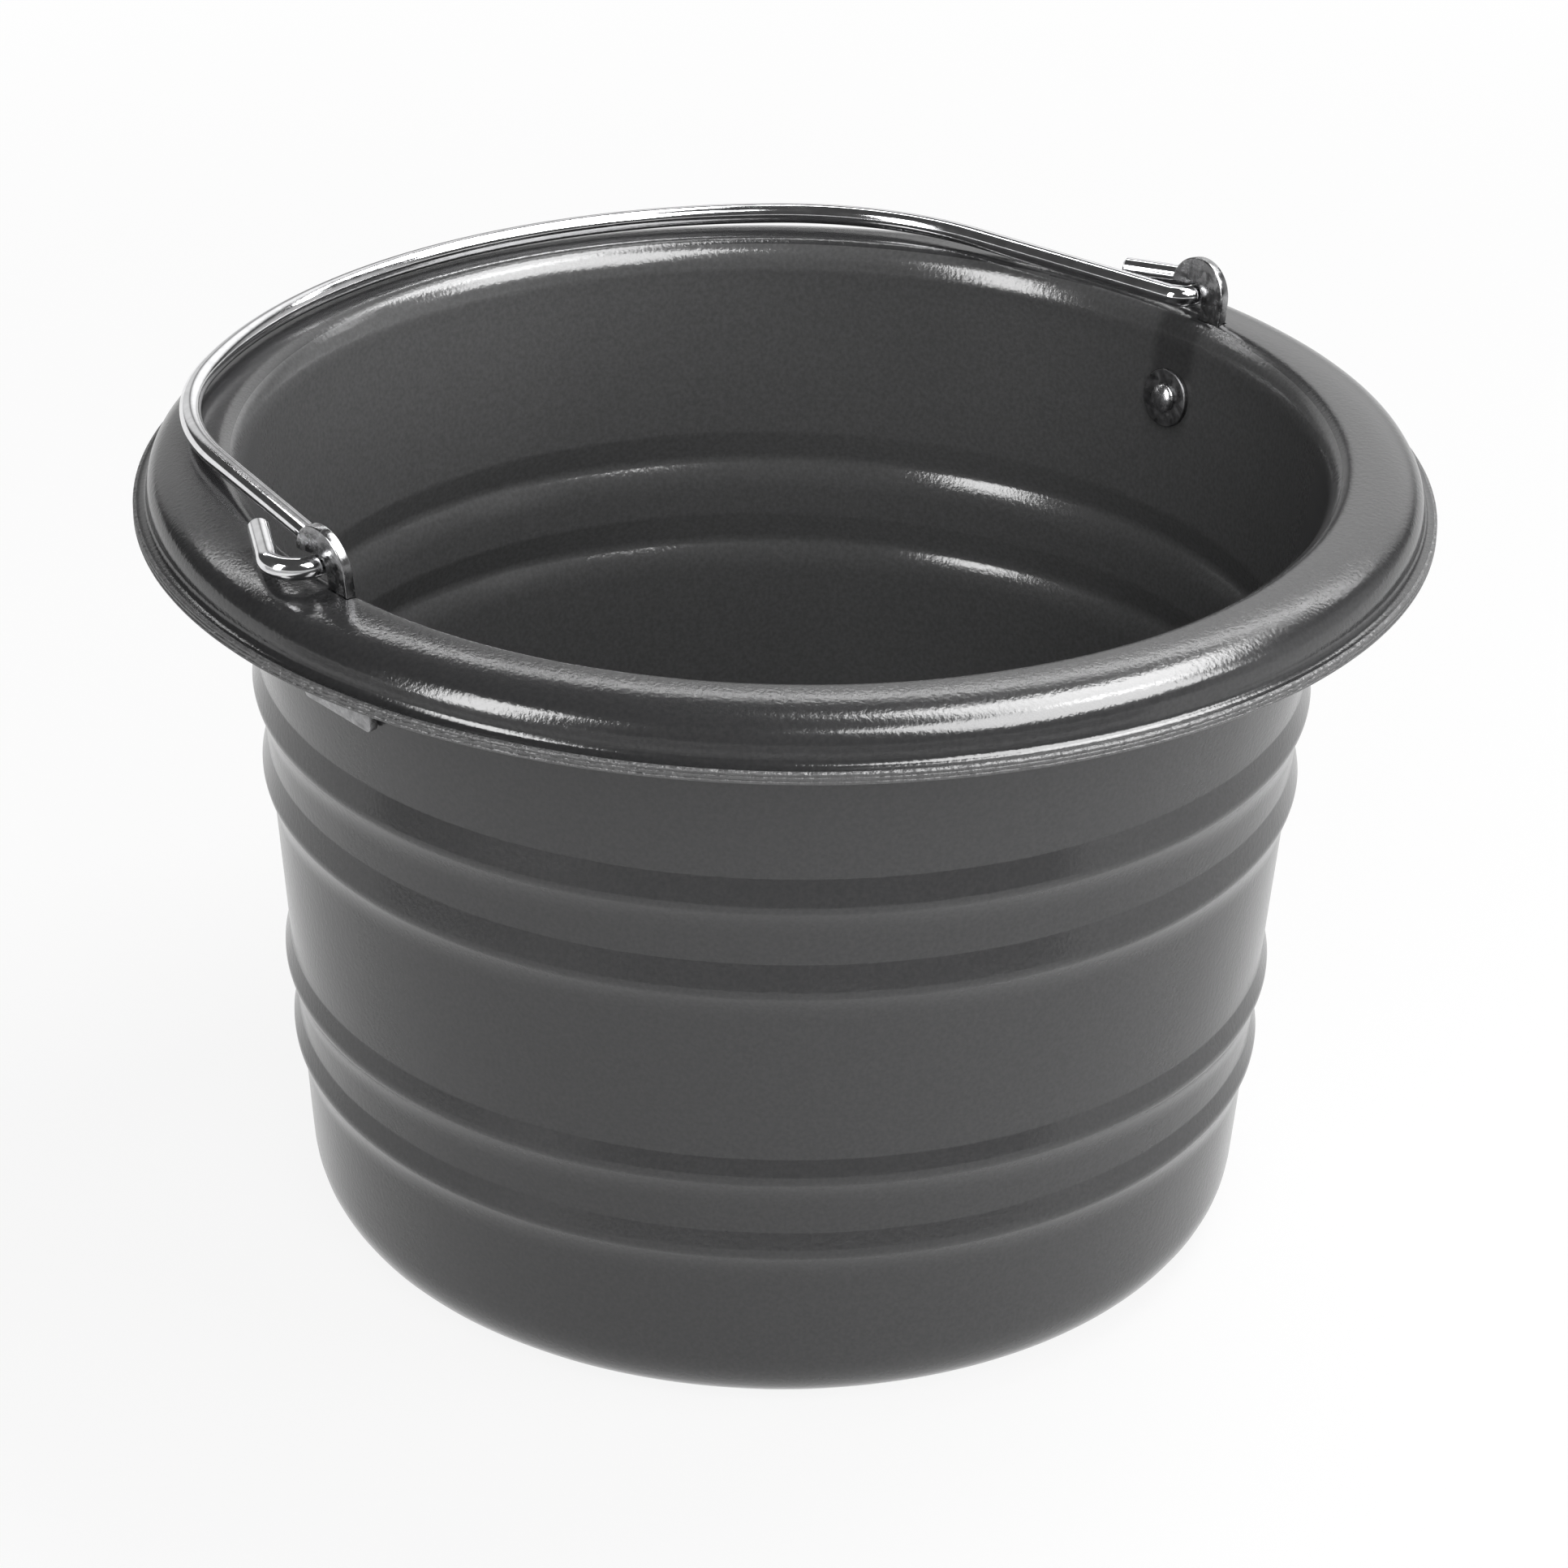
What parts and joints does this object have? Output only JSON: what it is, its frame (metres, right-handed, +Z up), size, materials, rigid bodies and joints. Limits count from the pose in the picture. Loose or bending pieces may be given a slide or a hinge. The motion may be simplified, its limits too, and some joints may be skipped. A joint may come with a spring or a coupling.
{
  "type": "bucket",
  "caption": "Round rubber feed bucket with a wide rolled rim, a tapered wall with two pairs of ridges, and a wire bail that swings in riveted steel ears.",
  "frame": {"origin": "centre of the flat underside of the base", "axes": "+Z up along the axis of the tub, X along the pivot line of the bail, +Y towards the folded bail"},
  "size_m": [0.375, 0.3748, 0.261],
  "materials": {
    "tub_rubber": "satin, with a fine moulded grain",
    "ear_steel": "bright zinc plate",
    "rivet_steel": "dull zinc plate",
    "bail_wire": "bright drawn wire, zinc plated"
  },
  "bodies": {
    "tub": {"tub": "tub_rubber", "ear_left": "ear_steel", "ear_right": "ear_steel", "rivet_left": "rivet_steel", "rivet_right": "rivet_steel", "washer_left": "rivet_steel", "washer_right": "rivet_steel"},
    "bail": {"bail": "bail_wire"}
  },
  "joints": [
    {"name": "bail_swing", "type": "hinge", "parent": "tub", "child": "bail", "pos_m": [0, 0, 0.2489], "axis": [1, 0, 0], "range_deg": [0, 181.56]}
  ]
}
